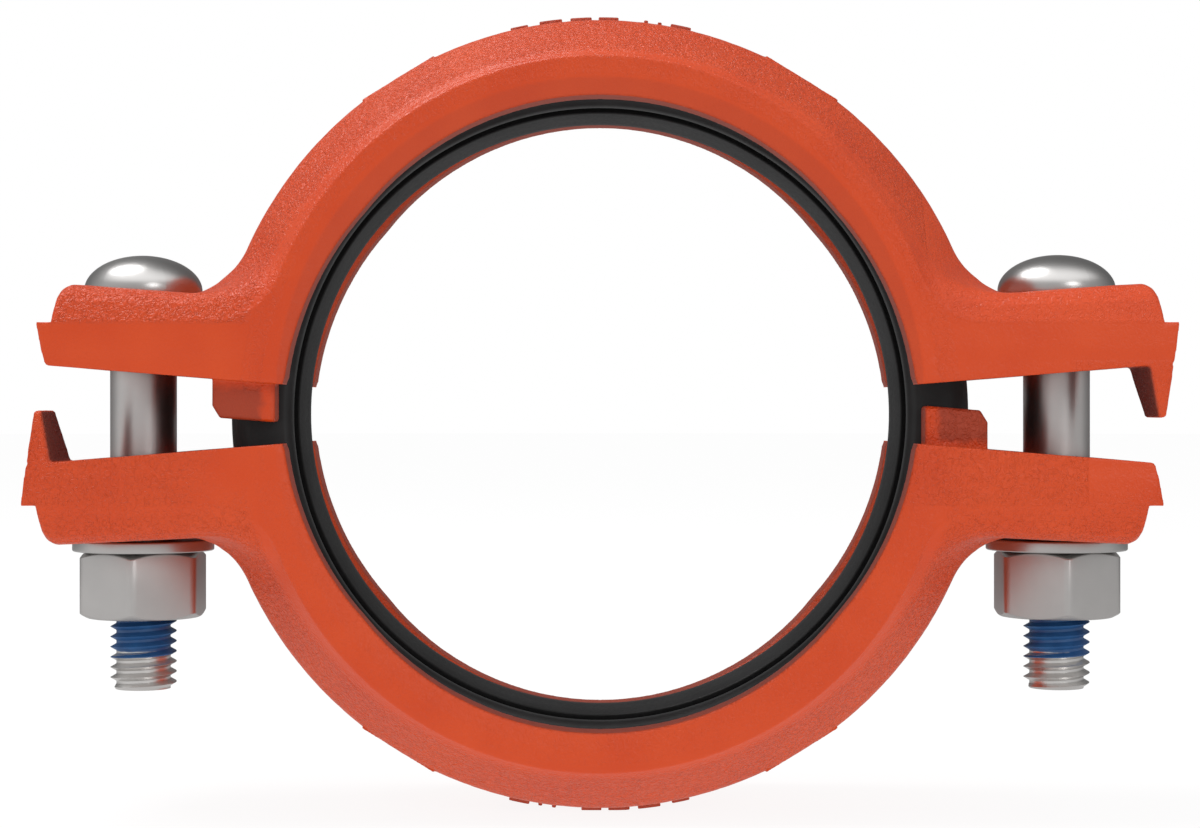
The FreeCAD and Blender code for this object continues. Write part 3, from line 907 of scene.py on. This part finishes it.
bm = bmesh.new()
bmesh.ops.create_circle(bm, cap_ends=True, segments=96, radius=9.0)
bmesh.ops.translate(bm, vec=(0, 0, floor_z), verts=bm.verts)
floor_mesh = bpy.data.meshes.new("floor")
bm.to_mesh(floor_mesh)
bm.free()
floor = bpy.data.objects.new("floor", floor_mesh)
bpy.context.scene.collection.objects.link(floor)
paper, paper_shader = finish_material("white_paper")
paper_shader.inputs["Base Color"].default_value = (0.10, 0.10, 0.10, 1.0)
paper_shader.inputs["Roughness"].default_value = 0.9
paper_shader.inputs["Specular IOR Level"].default_value = 0.0
paper_shader.inputs["Emission Color"].default_value = (1.0, 1.0, 1.0, 1.0)
rays = shader(paper, "ShaderNodeLightPath")
split = shader(paper, "ShaderNodeSeparateXYZ")
join(paper, shader(paper, "ShaderNodeTexCoord").outputs["Object"], split.inputs["Vector"])
# Painted light: the paper glows though it is no lamp. What it throws at the coupling grows brighter
# towards the coupling, and what the metal mirrors of it is dimmer to the right and far back.
lit = map_range(paper, split.outputs["Y"], -0.25, -0.02, 0.88, 1.12)
mirrored = calc(
    paper, "MULTIPLY",
    map_range(paper, split.outputs["X"], -0.3, 0.3, 0.76, 0.54),
    map_range(paper, split.outputs["Y"], -0.05, 0.35, 1.0, 0.2),
)
glossy = rays.outputs["Is Glossy Ray"]
glow = calc(
    paper, "ADD",
    calc(paper, "MULTIPLY", glossy, mirrored),
    calc(paper, "MULTIPLY", calc(paper, "SUBTRACT", 1.0, glossy), lit),
)
camera_ray = rays.outputs["Is Camera Ray"]
glow = calc(
    paper, "ADD",
    calc(paper, "MULTIPLY", camera_ray, 0.90),
    calc(paper, "MULTIPLY", calc(paper, "SUBTRACT", 1.0, camera_ray), glow),
)
join(paper, glow, paper_shader.inputs["Emission Strength"])
floor_mesh.materials.append(paper)

world = bpy.data.worlds.new("studio")
bpy.context.scene.world = world
world.use_nodes = True
backdrop = world.node_tree.nodes["Background"]
rays = shader(world, "ShaderNodeLightPath")
seen = calc(world, "MAXIMUM", rays.outputs["Is Camera Ray"], rays.outputs["Is Glossy Ray"])
seen = calc(world, "MAXIMUM", seen, rays.outputs["Is Transmission Ray"])
direction = shader(world, "ShaderNodeTexCoord").outputs["Generated"]
split = shader(world, "ShaderNodeSeparateXYZ")
join(world, direction, split.inputs["Vector"])
side = map_range(world, split.outputs["X"], -0.7, 0.8, 0.84, 0.62)
back = map_range(world, split.outputs["Y"], -0.3, 0.7, 1.0, 0.26)
panel = calc(
    world, "MULTIPLY",
    map_range(world, split.outputs["Z"], 0.5, 0.72, 0.0, 1.3),
    map_range(world, split.outputs["Y"], 0.0, 0.35, 1.0, 0.0),
)
room = calc(world, "MULTIPLY", calc(world, "ADD", side, panel), back)
mirrored = calc(world, "MAXIMUM", room, rays.outputs["Is Camera Ray"])
tent = calc(
    world, "ADD",
    map_range(world, split.outputs["Y"], -0.9, 0.0, 0.60, 0.84),
    map_range(world, split.outputs["X"], -0.9, 0.0, 0.22, 0.0),
)
level = blend_colours(world, seen, tent, mirrored)
join(world, level, backdrop.inputs["Color"])
backdrop.inputs["Strength"].default_value = 1.0


def soft_lamp(name, direction, distance, size, power):
    lamp = bpy.data.lights.new(name, "AREA")
    lamp.shape = "DISK"
    lamp.size = size
    lamp.energy = power
    place = Vector(direction).normalized() * distance
    lamp_object = bpy.data.objects.new(name, lamp)
    lamp_object.location = place
    lamp_object.rotation_euler = place.to_track_quat("Z", "Y").to_euler()
    lamp_object.visible_camera = False
    bpy.context.scene.collection.objects.link(lamp_object)


soft_lamp("overhead_box", (-0.36, 0.1, 0.85), 1.3, 0.72, 9.6)
soft_lamp("front_lamp", (0.42, -0.84, 0.36), 1.3, 0.48, 2.3)


# Camera: level with the middle of the bore and straight along the pipe, as in the photograph,
# close enough that the far side of the bore shows inside the near one.

camera_data = bpy.data.cameras.new("camera")
camera_data.sensor_width = 36.0
camera_data.lens = 72.65
camera_data.clip_start = 0.01
camera_data.clip_end = 50.0
camera = bpy.data.objects.new("camera", camera_data)
camera.location = (0.0, -0.4675, 0.0)
camera.rotation_euler = (math.radians(90), 0.0, 0.0)
bpy.context.scene.collection.objects.link(camera)
bpy.context.scene.camera = camera
bpy.context.scene.view_settings.view_transform = "Standard"
